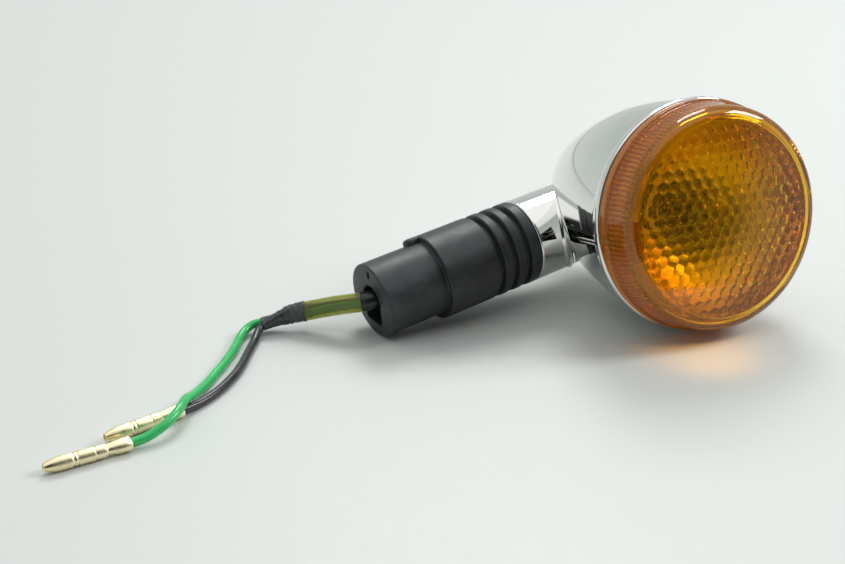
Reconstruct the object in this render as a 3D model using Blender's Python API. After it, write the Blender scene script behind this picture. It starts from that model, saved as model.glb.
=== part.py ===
"""Motorcycle turn signal: chrome bullet head, amber lens, rubber-mounted stem and two free leads.

The object lies on a table. +Z is up, the stem runs along +X and the lens looks towards -Y.
Lengths are metres. Three empties carry the design: stem_frame (Z along the stem, from the
rubber's free end), neck_frame (Z along the normal of the mitred joint) and head_frame (Z along
the lens axis, from the middle of the housing's rim).
"""
import math

import bmesh
import bpy
from mathutils import Matrix, Vector

# ---- how the object lies ------------------------------------------------------------------
ORIGIN_SHIFT = Vector((0.0114, 0.0190, 0.0))   # puts the middle of the box over the origin
STEM_SLOPE = math.radians(7.94)       # the stem climbs from the rubber to the head
HEAD_YAW = math.radians(-7.6)         # lens axis, turned from -Y
HEAD_LIFT = math.radians(12.5)        # lens axis, above the table
MITRE_AZIMUTH = math.radians(-34.4)   # normal of the joint face between stem and housing
MITRE_LIFT = math.radians(11.1)

# ---- rubber mount and stem ----------------------------------------------------------------
SPIGOT_R = 0.0113
SPIGOT_LEN = 0.0199
BODY_R = 0.01306
RUBBER_LEN = 0.0527
GROOVE_AT = (0.0385, 0.0434, 0.0483)
GROOVE_W = 0.0021
GROOVE_DEPTH = 0.0015
STEM_R = 0.0131
STEM_WALL = 0.0019
STEM_LEN = 0.0725                     # rubber end to the middle of the mitre, along the axis
INSERT_R = 0.0070
WIRE_BORE_R = 0.0034
BOLT_OFFSET = 0.0038                  # bolt above and wire passage below the mitre's middle
WIRE_OFFSET = 0.0056

# ---- head ---------------------------------------------------------------------------------
RIM_R = 0.0345
BELLY_LIFT = 0.0002                   # the rim clears the table by this much, on the belly
HOUSING_R = 0.0334
HOUSING_LEN = 0.0655
HOUSING_WALL = 0.0017
TAIL_SKEW = Vector((-0.0060, 0.0064))
LEDGE_Z = -0.0030
NECK_END_R = 0.0082                   # the neck tapers from the stem's radius to this
NECK_TAPER = 0.0085
HEAD_FROM_MITRE = Vector((0.01549, -0.04132))   # rim centre seen from the mitre, in plan
SCREW_R = 0.0302                      # lens screws sit on this radius
SCREW_ANGLES = (math.radians(5.0), math.radians(185.0))

# ---- lens ---------------------------------------------------------------------------------
LENS_SEAT_Z = 0.0007
LENS_FLANGE_R = 0.0340
LENS_FLANGE_T = 0.0026
LENS_WALL_R = 0.0334
LENS_TOP_R = 0.0326
LENS_CORNER_R = 0.0042
LENS_FACE_Z = 0.0139
LENS_DOME = 0.0022
LENS_T = 0.0022

# ---- bulb and socket ----------------------------------------------------------------------
BASE_R = 0.0075
BASE_BACK_Z = -0.0280
BASE_FRONT_Z = -0.0130
GLOBE_R = 0.0090
GLOBE_Z = -0.0010
SHELL_R = 0.0086
SHELL_BORE_R = 0.0078
SHELL_BACK_Z = -0.0382
PIN_Z = -0.0230
TWIST = math.radians(22.0)
PRESS = 0.0022

# ---- leads --------------------------------------------------------------------------------
LEAD_R = 0.0011
SLEEVE_R = 0.00295
SLEEVE_BORE_R = 0.00258

GAP = 0.0002
SEGMENTS = 32
BIG = 0.12


def clear_scene():
    for obj in list(bpy.data.objects):
        bpy.data.objects.remove(obj, do_unlink=True)


def material(name, color, roughness, metallic=0.0):
    mat = bpy.data.materials.new(name)
    mat.use_nodes = True
    shader = mat.node_tree.nodes["Principled BSDF"]
    shader.inputs["Base Color"].default_value = (*color, 1.0)
    shader.inputs["Roughness"].default_value = roughness
    shader.inputs["Metallic"].default_value = metallic
    return mat


def direction(azimuth, lift):
    flat = math.cos(lift)
    return Vector((flat * math.cos(azimuth), flat * math.sin(azimuth), math.sin(lift)))


def empty(name, location, rotation):
    obj = bpy.data.objects.new(name, None)
    obj.location = location
    obj.rotation_mode = "QUATERNION"
    obj.rotation_quaternion = rotation
    bpy.context.scene.collection.objects.link(obj)
    return obj


def add(name, bm, parent=None, mat=None, local=Matrix(), guide=False):
    """Turn bm into a named object under parent, all its faces pointing out."""
    bmesh.ops.recalc_face_normals(bm, faces=bm.faces)
    mesh = bpy.data.meshes.new(name)
    bm.to_mesh(mesh)
    bm.free()
    mesh.shade_smooth()
    mesh.set_sharp_from_angle(angle=math.radians(35.0))
    obj = bpy.data.objects.new(name, mesh)
    bpy.context.scene.collection.objects.link(obj)
    obj.parent = parent
    obj.matrix_local = local
    if mat:
        mesh.materials.append(mat)
    if guide:
        obj.hide_render = True
        obj.display_type = "WIRE"
    return obj


def lathe(profile, segments=SEGMENTS, ring=False):
    """Turn (radius, z) points about Z. A ring profile closes on itself, off the axis."""
    bm = bmesh.new()
    turns = [2 * math.pi * (k + 0.3) / segments for k in range(segments)]
    loops = []
    for r, z in profile:
        if r == 0:
            loops.append([bm.verts.new((0, 0, z))])
        else:
            loops.append([bm.verts.new((r * math.cos(t), r * math.sin(t), z)) for t in turns])
    if ring:
        loops.append(loops[0])
    for low, high in zip(loops, loops[1:]):
        for k in range(segments):
            j = (k + 1) % segments
            corners = (low[k % len(low)], low[j % len(low)], high[j % len(high)],
                       high[k % len(high)])
            corners = list(dict.fromkeys(corners))
            if len(corners) > 2:
                bm.faces.new(corners)
    return bm


def rod(radius, z0, z1, segments=SEGMENTS):
    return lathe([(0, z0), (radius, z0), (radius, z1), (0, z1)], segments)


def tube(inner, outer, z0, z1, segments=SEGMENTS):
    return lathe([(inner, z0), (outer, z0), (outer, z1), (inner, z1)], segments, ring=True)


def hexagon(across_flats, z0, z1):
    return rod(across_flats / math.sqrt(3), z0, z1, segments=6)


def box(x0, x1, y0, y1, z0, z1):
    bm = bmesh.new()
    bmesh.ops.create_cube(bm, size=1.0)
    bmesh.ops.scale(bm, vec=(x1 - x0, y1 - y0, z1 - z0), verts=bm.verts)
    middle = ((x0 + x1) / 2, (y0 + y1) / 2, (z0 + z1) / 2)
    bmesh.ops.translate(bm, vec=middle, verts=bm.verts)
    return bm


def arc(center_r, center_z, radius, start, end, steps):
    """Points of a fillet, angles in degrees from +R towards +Z."""
    turns = [math.radians(start + (end - start) * i / steps) for i in range(steps + 1)]
    return [(center_r + radius * math.cos(t), center_z + radius * math.sin(t)) for t in turns]


def boolean(obj, cutter, operation="DIFFERENCE", solver="EXACT"):
    mod = obj.modifiers.new(cutter.name, "BOOLEAN")
    mod.object = cutter
    mod.operation = operation
    mod.solver = solver


def guide(name, bm, parent, local=Matrix()):
    return add(name, bm, parent, local=local, guide=True)


def smooth_route(points, step):
    """Read a smooth curve through the points, one sample every step."""
    route = [Vector(p) for p in points]
    ends = [2 * route[0] - route[1]] + route + [2 * route[-1] - route[-2]]
    samples = []
    for a, b, c, d in zip(ends, ends[1:], ends[2:], ends[3:]):
        count = max(1, round((c - b).length / step))
        for i in range(count):
            t = i / count
            samples.append(0.5 * (2 * b + (c - a) * t + (2 * a - 5 * b + 4 * c - d) * t ** 2
                                  + (3 * b - a - 3 * c + d) * t ** 3))
    samples.append(route[-1])
    return samples


def cord(name, points, radius, mat, parent=None, step=0.0025, resolution=2):
    """A solid round cord: a curve with a bevel and filled caps."""
    samples = smooth_route(points, step)
    curve = bpy.data.curves.new(name, "CURVE")
    curve.dimensions = "3D"
    curve.bevel_depth = radius
    curve.bevel_resolution = resolution
    curve.use_fill_caps = True
    spline = curve.splines.new("POLY")
    spline.points.add(len(samples) - 1)
    for point, sample in zip(spline.points, samples):
        point.co = (*sample, 1.0)
    curve.materials.append(mat)
    obj = bpy.data.objects.new(name, curve)
    bpy.context.scene.collection.objects.link(obj)
    obj.parent = parent
    return obj


def pipe(points, radius_at, bore_at, step, segments):
    """A hollow round piece along a route; its radii may change along the way."""
    samples = smooth_route(points, step)
    bm = bmesh.new()
    skins = ([], [])
    side = Vector((0, 0, 1))
    for i, place in enumerate(samples):
        ahead = samples[min(i + 1, len(samples) - 1)] - samples[max(i - 1, 0)]
        ahead.normalize()
        across = ahead.cross(side).normalized()
        up = across.cross(ahead)
        along = i / (len(samples) - 1)
        for skin, radius in zip(skins, (radius_at(along), bore_at(along))):
            turns = [2 * math.pi * k / segments for k in range(segments)]
            skin.append([bm.verts.new(place + radius * (math.cos(t) * across + math.sin(t) * up))
                         for t in turns])
    outer, inner = skins
    loops = outer + inner[::-1]
    for ring_a, ring_b in zip(loops, loops[1:] + loops[:1]):
        for k in range(segments):
            j = (k + 1) % segments
            bm.faces.new((ring_a[k], ring_a[j], ring_b[j], ring_b[k]))
    return bm


def make_frames():
    along = direction(0.0, STEM_SLOPE)
    rubber_end = Vector((-STEM_LEN * along.x, 0.0, SPIGOT_R * math.cos(STEM_SLOPE)))
    rubber_end += ORIGIN_SHIFT
    mitre = rubber_end + STEM_LEN * along
    normal = direction(MITRE_AZIMUTH, MITRE_LIFT)
    rim = Vector((mitre.x + HEAD_FROM_MITRE.x, mitre.y + HEAD_FROM_MITRE.y,
                  RIM_R * math.cos(HEAD_LIFT) + BELLY_LIFT))
    axis = direction(HEAD_YAW - math.pi / 2, HEAD_LIFT)
    return {
        "stem": empty("stem_frame", rubber_end, along.to_track_quat("Z", "Y")),
        "neck": empty("neck_frame", mitre, normal.to_track_quat("Z", "Y")),
        "head": empty("head_frame", rim, axis.to_track_quat("Z", "Y")),
    }


def make_materials():
    return {
        "chrome": material("chrome", (0.80, 0.81, 0.80), 0.08, 1.0),
        "amber": material("amber", (0.85, 0.33, 0.02), 0.08),
        "rubber": material("rubber", (0.045, 0.048, 0.052), 0.65),
        "steel": material("steel", (0.55, 0.55, 0.54), 0.35, 1.0),
        "brass": material("brass", (0.68, 0.48, 0.20), 0.32, 1.0),
        "bright": material("bright_reflector", (0.82, 0.82, 0.80), 0.15, 1.0),
        "glass": material("bulb_glass", (0.92, 0.94, 0.94), 0.04),
        "phenolic": material("phenolic", (0.10, 0.05, 0.03), 0.5),
        "tungsten": material("tungsten", (0.30, 0.30, 0.31), 0.4, 1.0),
        "olive": material("olive_vinyl", (0.40, 0.38, 0.12), 0.2),
        "tape": material("black_tape", (0.02, 0.02, 0.02), 0.4),
        "green": material("green_insulation", (0.03, 0.30, 0.13), 0.35),
        "black": material("black_insulation", (0.02, 0.02, 0.025), 0.35),
    }


# ---- rubber mount -------------------------------------------------------------------------
def rubber_profile():
    lip = 0.0006
    points = [(SPIGOT_R - lip, 0.0), (SPIGOT_R, lip), (SPIGOT_R, SPIGOT_LEN)]
    points += [(BODY_R - lip, SPIGOT_LEN), (BODY_R, SPIGOT_LEN + lip)]
    for middle in GROOVE_AT:
        half = GROOVE_W / 2
        floor = BODY_R - GROOVE_DEPTH
        points += [(BODY_R, middle - half), (floor, middle - half * 0.6)]
        points += [(floor, middle + half * 0.6), (BODY_R, middle + half)]
    points += [(BODY_R, RUBBER_LEN - lip), (BODY_R - lip, RUBBER_LEN)]
    socket_r = INSERT_R + GAP
    points += [(socket_r, RUBBER_LEN), (socket_r, 0.0448), (WIRE_BORE_R, 0.0448)]
    points += [(WIRE_BORE_R, 0.0352), (socket_r, 0.0352), (socket_r, 0.0040), (0.0046, 0.0040)]
    return points + [(0.0046, 0.0)]


def make_rubber(frames, mats):
    stem = frames["stem"]
    rubber = add("rubber_mount", lathe(rubber_profile(), ring=True), stem, mats["rubber"])
    nub = guide("shoulder_nub", box(-0.0022, 0.0022, 0.0105, 0.0126, 0.0160, 0.0205), stem)
    mouth = guide("mouth", box(-0.0046, 0.0046, -0.0072, 0.0012, -0.0010, 0.0043), stem)
    slit = guide("slit", box(-0.0008, 0.0008, 0.0075, 0.0095, -0.0010, 0.0030), stem)
    boolean(rubber, nub, "UNION")
    boolean(rubber, mouth)
    boolean(rubber, slit)
    add("mount_sleeve", tube(0.0050, INSERT_R, 0.0045, 0.0350), stem, mats["steel"])


# ---- stem ---------------------------------------------------------------------------------
def beyond(name, frames, distance, towards=1):
    """A large block on one side of a plane parallel to the mitre."""
    low, high = sorted((distance, distance + towards * BIG))
    return guide(name, box(-BIG, BIG, -BIG, BIG, low, high), frames["neck"])


def make_stem(frames, mats):
    stem_frame = frames["stem"]
    neck = frames["neck"]
    face = RUBBER_LEN + GAP
    stem = add("stem", rod(STEM_R, face, 0.100), stem_frame, mats["chrome"])
    boolean(stem, beyond("mitre_cut", frames, -0.00065))
    bead = guide("mitre_bead", rod(STEM_R + 0.0006, 0.045, 0.110), stem_frame)
    boolean(bead, beyond("bead_front", frames, -0.00065))
    boolean(bead, beyond("bead_back", frames, -0.0018, towards=-1))
    boolean(stem, bead, "UNION")
    hollow = guide("stem_hollow", rod(STEM_R - STEM_WALL, face + 0.0025, 0.110), stem_frame)
    boolean(hollow, beyond("wall_face", frames, -0.0056))
    boolean(stem, hollow)
    spigot = guide("stem_spigot", rod(INSERT_R, 0.0450, face + 0.0010), stem_frame)
    boolean(stem, spigot, "UNION")
    boolean(stem, guide("stem_bore", rod(WIRE_BORE_R, 0.040, face + 0.0040, 32), stem_frame))
    bolt_at = Matrix.Translation((0, BOLT_OFFSET, 0))
    wire_at = Matrix.Translation((0, -WIRE_OFFSET, 0))
    boolean(stem, guide("stem_bolt_hole", rod(0.0027, -0.012, 0.002, 24), neck, bolt_at))
    boolean(stem, guide("stem_wire_hole", rod(0.0031, -0.012, 0.002, 24), neck, wire_at))
    gasket = add("neck_gasket", rod(STEM_R - 0.0002, 0.045, 0.110), stem_frame, mats["rubber"])
    boolean(gasket, beyond("gasket_front", frames, 0.00005))
    boolean(gasket, beyond("gasket_back", frames, -0.00045, towards=-1))
    boolean(gasket, guide("gasket_bolt_hole", rod(0.0028, -0.01, 0.01, 24), neck, bolt_at))
    boolean(gasket, guide("gasket_wire_hole", rod(0.0030, -0.01, 0.01, 24), neck, wire_at))
    bolt = lathe([(0, -0.0098), (0.0020, -0.0098), (0.0024, -0.0094), (0.0024, 0.0062),
                  (0, 0.0062)], 24)
    bolt = add("neck_bolt", bolt, neck, mats["steel"], bolt_at)
    boolean(bolt, guide("bolt_head", hexagon(0.0080, 0.0059, 0.0091), neck, bolt_at), "UNION")
    add("neck_washer", tube(0.0027, 0.0050, 0.0047, 0.0057, 24), neck, mats["steel"], bolt_at)
    nut = add("neck_nut", hexagon(0.0080, -0.0088, -0.0058), neck, mats["steel"], bolt_at)
    boolean(nut, guide("nut_bore", rod(0.0026, -0.02, 0.0, 24), neck, bolt_at))


# ---- housing ------------------------------------------------------------------------------
def bullet_radius(depth, length, radius):
    """Radius of the bullet at a depth behind the rim, full at the rim and zero at the tail."""
    share = min(depth / length, 1.0)
    return radius * (1 - share ** 1.85) ** 0.76


def bullet_depths(length, count):
    """Depths from the rim to the tail, closer together towards the round tail."""
    return [length * math.sin(math.pi / 2 * i / count) for i in range(count + 1)]


def skew(bm):
    """Lean the tail sideways and up, leaving the rim and its ledge straight."""
    for vert in bm.verts:
        share = max(0.0, LEDGE_Z - vert.co.z) / (HOUSING_LEN + LEDGE_Z)
        vert.co.x += TAIL_SKEW.x * share
        vert.co.y += TAIL_SKEW.y * share


def bullet(radius, length, start, count=11):
    points = [(bullet_radius(d, length, radius), -d) for d in bullet_depths(length, count)]
    return [(r, z) for r, z in points if z < start]


def housing_outside():
    """The bullet as a solid: tail, skin, then the rolled bead round the rim."""
    bead = arc(RIM_R - 0.0009, -0.0009, 0.0009, -50, 90, 4)
    return bullet(HOUSING_R, HOUSING_LEN, -0.0032)[::-1] + bead + [(0, 0)]


def housing_cavity():
    """The room inside the shell, with the ledge that the reflector rests on."""
    bore = RIM_R - 0.0027
    skin = bullet(HOUSING_R - HOUSING_WALL, HOUSING_LEN - HOUSING_WALL, LEDGE_Z - 0.0005)
    mouth = [(0, 0.0050), (bore, 0.0050), (bore, LEDGE_Z), (bore - 0.0015, LEDGE_Z)]
    return mouth + skin


def boss(name, frames):
    """The neck of the housing: round its own axis, tapering away from the mitred joint."""
    along = direction(0.0, STEM_SLOPE)
    normal = direction(MITRE_AZIMUTH, MITRE_LIFT)
    leaving = 2 * normal.dot(along) * normal - along
    turn = leaving.to_track_quat("Z", "Y")
    across = [turn @ Vector(axis) for axis in ((1, 0, 0), (0, 1, 0))]
    to_neck = frames["neck"].rotation_quaternion.inverted()
    bm = bmesh.new()
    rings = []
    for far in (0.00025, 0.0020, 0.0040, 0.0065, 0.0095, 0.0130):
        radius = NECK_END_R + (STEM_R - NECK_END_R) * math.exp(-far / NECK_TAPER)
        ring = []
        for k in range(SEGMENTS):
            angle = 2 * math.pi * k / SEGMENTS
            side = radius * (math.cos(angle) * across[0] + math.sin(angle) * across[1])
            reach = (far - side.dot(normal)) / leaving.dot(normal)
            ring.append(bm.verts.new(to_neck @ (side + reach * leaving)))
        rings.append(ring)
    for low, high in zip(rings, rings[1:]):
        for k in range(SEGMENTS):
            j = (k + 1) % SEGMENTS
            bm.faces.new((low[k], low[j], high[j], high[k]))
    bm.faces.new(rings[0][::-1])
    bm.faces.new(rings[-1])
    return guide(name, bm, frames["neck"])


def make_housing(frames, mats):
    head = frames["head"]
    neck = frames["neck"]
    shell = lathe(housing_outside())
    skew(shell)
    housing = add("housing", shell, head, mats["chrome"])
    boolean(housing, boss("neck_boss", frames), "UNION")
    room = lathe(housing_cavity())
    skew(room)
    cavity = guide("cavity", room, head)
    cuts = [cavity]
    for i, angle in enumerate(SCREW_ANGLES):
        at = Matrix.Rotation(angle, 4, "Z") @ Matrix.Translation((SCREW_R, 0, 0))
        boolean(cavity, guide(f"screw_pocket_{i}", rod(0.0050, -0.0245, -0.0012, 24), head, at))
        profile = [(0, -0.0230), (0.0036, -0.0230), (0.0036, -0.0031), (0.0018, -0.0031)]
        profile += [(0.0018, 0.0100), (0, 0.0100)]
        cuts.append(guide(f"screw_hole_{i}", lathe(profile, 24), head, at))
    boolean(cavity, boss("boss_core", frames))
    seat = guide("stem_clearance", rod(STEM_R + 0.0010, 0.040, 0.110), frames["stem"])
    boolean(seat, beyond("seat_face", frames, 0.00025))
    bolt_at = Matrix.Translation((0, BOLT_OFFSET, 0))
    wire_at = Matrix.Translation((0, -WIRE_OFFSET, 0))
    cuts.append(seat)
    cuts.append(guide("head_room", rod(0.0058, 0.0045, 0.0200, 24), neck, bolt_at))
    cuts.append(guide("bolt_hole", rod(0.0027, -0.005, 0.010, 24), neck, bolt_at))
    cuts.append(guide("wire_hole", rod(0.0029, -0.005, 0.022, 24), neck, wire_at))
    for cut in cuts:
        boolean(housing, cut, solver="MANIFOLD")


# ---- lens ---------------------------------------------------------------------------------
def lens_profile():
    """Outer skin from the flange to the crowned face, then the inner skin back."""
    top = LENS_SEAT_Z + LENS_FLANGE_T
    turn_z = LENS_FACE_Z - LENS_CORNER_R
    turn_r = LENS_TOP_R - LENS_CORNER_R
    outer = [(0.0302, LENS_SEAT_Z - 0.0022), (0.0314, LENS_SEAT_Z - 0.0022)]
    outer += [(0.0314, LENS_SEAT_Z), (LENS_FLANGE_R, LENS_SEAT_Z), (LENS_FLANGE_R, top)]
    outer += [(LENS_WALL_R, top + 0.0004)]
    outer += arc(turn_r, turn_z, LENS_CORNER_R, 0, 78, 4)
    edge_r, edge_z = outer[-1]
    crown = [(edge_r * (1 - i / 3), edge_z + LENS_DOME * (1 - (1 - i / 3) ** 2))
             for i in range(1, 4)]
    inside = [(0.0, crown[-1][1] - LENS_T)]
    inside += [(r, z - LENS_T) for r, z in crown[-2::-1]]
    inside += arc(turn_r, turn_z, LENS_CORNER_R - LENS_T, 70, 0, 2)
    inside += [(LENS_WALL_R - LENS_T - 0.0010, top)]
    return outer + crown + inside


def make_lens(frames, mats):
    head = frames["head"]
    lens = add("lens", lathe(lens_profile(), ring=True), head, mats["amber"])
    gasket = add("lens_gasket", tube(0.0318, 0.0334, GAP, LENS_SEAT_Z - GAP), head,
                 mats["rubber"])
    for i, angle in enumerate(SCREW_ANGLES):
        turn = Matrix.Rotation(angle, 4, "Z")
        at = turn @ Matrix.Translation((SCREW_R, 0, 0))
        lug = guide(f"lens_lug_{i}", box(0.0268, 0.0312, -0.0058, 0.0058, 0.0010, 0.0104),
                    head, turn)
        boolean(lens, lug, "UNION")
        boolean(lens, guide(f"skirt_gap_{i}", box(0.024, 0.0330, -0.0062, 0.0062, -0.004,
                                                   0.0005), head, turn))
        boolean(lens, guide(f"lug_bore_{i}", rod(0.0015, -0.004, 0.0086, 24), head, at))
        boolean(gasket, guide(f"gasket_notch_{i}", rod(0.0022, -0.004, 0.004, 24), head, at))
        screw = lathe([(0, -0.0054), (0.0024, -0.0054), (0.0028, -0.0047), (0.0028, -0.0034),
                       (0.0013, -0.0032), (0.0013, 0.0072), (0, 0.0082)], 24)
        screw = add(f"lens_screw_{i + 1}", screw, head, mats["steel"], at)
        for k in range(2):
            cross = Matrix.Rotation(math.radians(90 * k), 4, "Z")
            drive = guide(f"drive_{i}_{k}", box(-0.0017, 0.0017, -0.0004, 0.0004, -0.008,
                                                -0.0044), head, at @ cross)
            boolean(screw, drive)


# ---- reflector, socket and bulb -----------------------------------------------------------
def make_reflector(frames, mats):
    head = frames["head"]
    dish = [(0.0314, LEDGE_Z + GAP), (0.0314, LEDGE_Z + 0.0013), (0.0290, LEDGE_Z + 0.0013)]
    front = [(0.0290 - 0.0168 * i / 4, -0.0018 - 0.0126 * (1 - (1 - i / 4) ** 2)) for i in range(1, 5)]
    back = [(r + 0.0004, z - 0.0010) for r, z in front[::-1]]
    dish += front + [(0.0092, -0.0144), (0.0092, -0.0154)] + back + [(0.0284, LEDGE_Z + GAP)]
    reflector = add("reflector", lathe(dish, ring=True), head, mats["bright"])
    for i, angle in enumerate(SCREW_ANGLES):
        at = Matrix.Rotation(angle, 4, "Z") @ Matrix.Translation((SCREW_R, 0, 0))
        boolean(reflector, guide(f"reflector_notch_{i}", rod(0.0054, -0.03, 0.01, 24), head, at))
    for i in range(3):
        at = Matrix.Rotation(math.radians(90 + 120 * i), 4, "Z")
        at = at @ Matrix.Translation((0.0106, 0, 0))
        boolean(reflector, guide(f"rivet_hole_{i}", rod(0.0009, -0.03, 0.0, 16), head, at))


def make_socket(frames, mats):
    head = frames["head"]
    back = SHELL_BACK_Z
    profile = [(0.0024, back), (SHELL_R, back), (SHELL_R, -0.0166), (0.0121, -0.0166)]
    profile += [(0.0121, -0.0157), (SHELL_R, -0.0157), (SHELL_R, -0.0136), (SHELL_BORE_R, -0.0136)]
    profile += [(SHELL_BORE_R, back + 0.0010), (0.0024, back + 0.0010)]
    shell = add("socket_shell", lathe(profile, ring=True), head, mats["steel"])
    for i in range(2):
        side = math.pi * i
        reach = TWIST + math.radians(20)
        window = wedge(0.0070, 0.0094, PIN_Z - PRESS - 0.0013, PIN_Z + 0.0013,
                       side - math.radians(10), side - math.radians(10) + reach)
        entry = wedge(0.0070, 0.0094, PIN_Z, -0.0120, side + TWIST - math.radians(10),
                      side + TWIST + math.radians(10))
        boolean(shell, guide(f"pin_window_{i}", window, head))
        boolean(shell, guide(f"pin_entry_{i}", entry, head))
    for i in range(3):
        at = Matrix.Rotation(math.radians(90 + 120 * i), 4, "Z")
        at = at @ Matrix.Translation((0.0106, 0, 0))
        boolean(shell, guide(f"flange_hole_{i}", rod(0.0009, -0.03, 0.0, 16), head, at))
        rivet = lathe([(0, -0.0174), (0.0013, -0.0174), (0.0013, -0.0168), (0.0007, -0.0168),
                       (0.0007, -0.0142), (0.0013, -0.0142), (0.0009, -0.0136), (0, -0.0134)], 12)
        add(f"socket_rivet_{i + 1}", rivet, head, mats["brass"], at)
    carrier = lathe([(0.0024, -0.0332), (0.0074, -0.0332), (0.0074, -0.0308), (0.0024, -0.0308)],
                    24, ring=True)
    add("contact_carrier", carrier, head, mats["phenolic"])
    contact = lathe([(0, -0.0340), (0.0016, -0.0340), (0.0016, -0.0336), (0.0021, -0.0334),
                     (0.0021, -0.0306), (0.0015, -0.0302), (0, -0.0301)], 24)
    add("center_contact", contact, head, mats["brass"])
    turns = [i / 12 for i in range(31)]
    coil = [(0.0052 * math.cos(2 * math.pi * t), 0.0052 * math.sin(2 * math.pi * t),
             -0.0338 - 0.0025 * t / 2.5) for t in turns]
    cord("contact_spring", coil, 0.0003, mats["steel"], head, step=0.003, resolution=1)


def wedge(inner, outer, z0, z1, start, end, steps=6):
    """A sector of a tube."""
    bm = bmesh.new()
    corners = [bm.verts.new((r, 0, z)) for r, z in
               ((inner, z0), (outer, z0), (outer, z1), (inner, z1))]
    face = bm.faces.new(corners)
    bmesh.ops.rotate(bm, verts=corners, cent=(0, 0, 0), matrix=Matrix.Rotation(start, 3, "Z"))
    bmesh.ops.spin(bm, geom=[face] + list(face.edges) + corners, cent=(0, 0, 0),
                   axis=(0, 0, 1), angle=end - start, steps=steps)
    return bm


def make_bulb(frames, mats):
    head = frames["head"]
    back, front = BASE_BACK_Z, BASE_FRONT_Z
    bore = BASE_R - 0.0005
    base = lathe([(0.0030, back), (0.0068, back), (BASE_R, back + 0.0007), (BASE_R, front),
                  (bore, front), (bore, back + 0.0012), (0.0030, back + 0.0012)], ring=True)
    base = add("bulb_base", base, head, mats["brass"])
    sideways = Matrix.Translation((0, 0, PIN_Z)) @ Matrix.Rotation(math.radians(90), 4, "Y")
    for i, side in enumerate((1, -1)):
        low, high = sorted((side * (BASE_R - 0.0003), side * 0.0084))
        boolean(base, guide(f"bayonet_pin_{i}", rod(0.0009, low, high, 16), head, sideways),
                "UNION")
    neck_r = 0.0064
    start = math.degrees(math.acos(neck_r / GLOBE_R))
    outer = [(neck_r, -0.0210)] + arc(0, GLOBE_Z, GLOBE_R, -start, 90, 7)
    wall = 0.0006
    inner = arc(0, GLOBE_Z, GLOBE_R - wall, 90, -start, 7) + [(neck_r - wall, -0.0210)]
    outer[-1] = (0.0, GLOBE_Z + GLOBE_R)
    inner[0] = (0.0, GLOBE_Z + GLOBE_R - wall)
    glass = lathe(outer + inner, 24, ring=True)
    add("bulb_glass", glass, head, mats["glass"])
    mount = lathe([(0, -0.0215), (0.0044, -0.0215), (0.0036, -0.0170), (0.0016, -0.0120),
                   (0.0012, -0.0085), (0, -0.0085)], 20)
    add("bulb_stem_press", mount, head, mats["glass"])
    for name, side in (("filament_post_left", -1), ("filament_post_right", 1)):
        post = lathe([(0, -0.0083), (0.0003, -0.0083), (0.0003, -0.0012), (0, -0.0012)], 8)
        add(name, post, head, mats["tungsten"], Matrix.Translation((side * 0.0031, 0, 0)))
    coil = lathe([(0, -0.0026), (0.0004, -0.0026), (0.0004, 0.0026), (0, 0.0026)], 8)
    across = Matrix.Translation((0, 0, -0.0006)) @ Matrix.Rotation(math.radians(90), 4, "Y")
    add("bulb_filament", coil, head, mats["tungsten"], across)
    add("base_insulator", tube(0.0028, 0.0066, back - 0.0009, back - GAP, 24), head,
        mats["phenolic"])
    tip = lathe([(0, back - 0.0019), (0.0016, back - 0.0017), (0.0024, back - 0.0010),
                 (0.0024, back + 0.0010), (0, back + 0.0010)], 20)
    add("base_tip", tip, head, mats["steel"])


# ---- leads --------------------------------------------------------------------------------
# Routes of the free leads, in metres, from inside the rubber's mouth to the terminals.
SLEEVE_ROUTE = [
    (-0.0627, 0.0211, 0.0105), (-0.0650, 0.0230, 0.0099), (-0.0690, 0.0267, 0.0086),
    (-0.0726, 0.0301, 0.0072), (-0.0754, 0.0327, 0.0061),
]
COLLAR_ROUTE = [
    (-0.0576, 0.0193, 0.0115), (-0.0594, 0.0194, 0.0113), (-0.0612, 0.0200, 0.0109),
    (-0.0625, 0.0209, 0.0106),
]
TAPE_ROUTE = [
    (-0.0763, 0.0333, 0.0059), (-0.0779, 0.0342, 0.0055), (-0.0798, 0.0350, 0.0050),
    (-0.0838, 0.0363, 0.0038), (-0.0874, 0.0373, 0.0030),
]
GREEN_ROUTE = [
    (-0.0578, 0.0181, 0.0115), (-0.0617, 0.0189, 0.0109), (-0.0658, 0.0221, 0.0099),
    (-0.0698, 0.0258, 0.0086), (-0.0734, 0.0291, 0.0071), (-0.0766, 0.0322, 0.0054),
    (-0.0796, 0.0347, 0.0038), (-0.0833, 0.0371, 0.0030), (-0.0870, 0.0386, 0.0030),
    (-0.0896, 0.0393, 0.0026), (-0.0926, 0.0384, 0.0018), (-0.0956, 0.0358, 0.0013),
    (-0.0984, 0.0322, 0.0012), (-0.1012, 0.0287, 0.0012), (-0.1042, 0.0255, 0.0012),
    (-0.1073, 0.0222, 0.0012), (-0.1104, 0.0193, 0.0012), (-0.1134, 0.0164, 0.0012),
    (-0.1164, 0.0136, 0.0014), (-0.1196, 0.0105, 0.0021), (-0.1226, 0.0073, 0.0032),
    (-0.1254, 0.0040, 0.0046), (-0.1280, 0.0006, 0.0050), (-0.1308, -0.0022, 0.0047),
    (-0.1340, -0.0040, 0.0039), (-0.1374, -0.0050, 0.0030), (-0.1406, -0.0054, 0.0023),
    (-0.1439, -0.0054, 0.0020),
]
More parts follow.
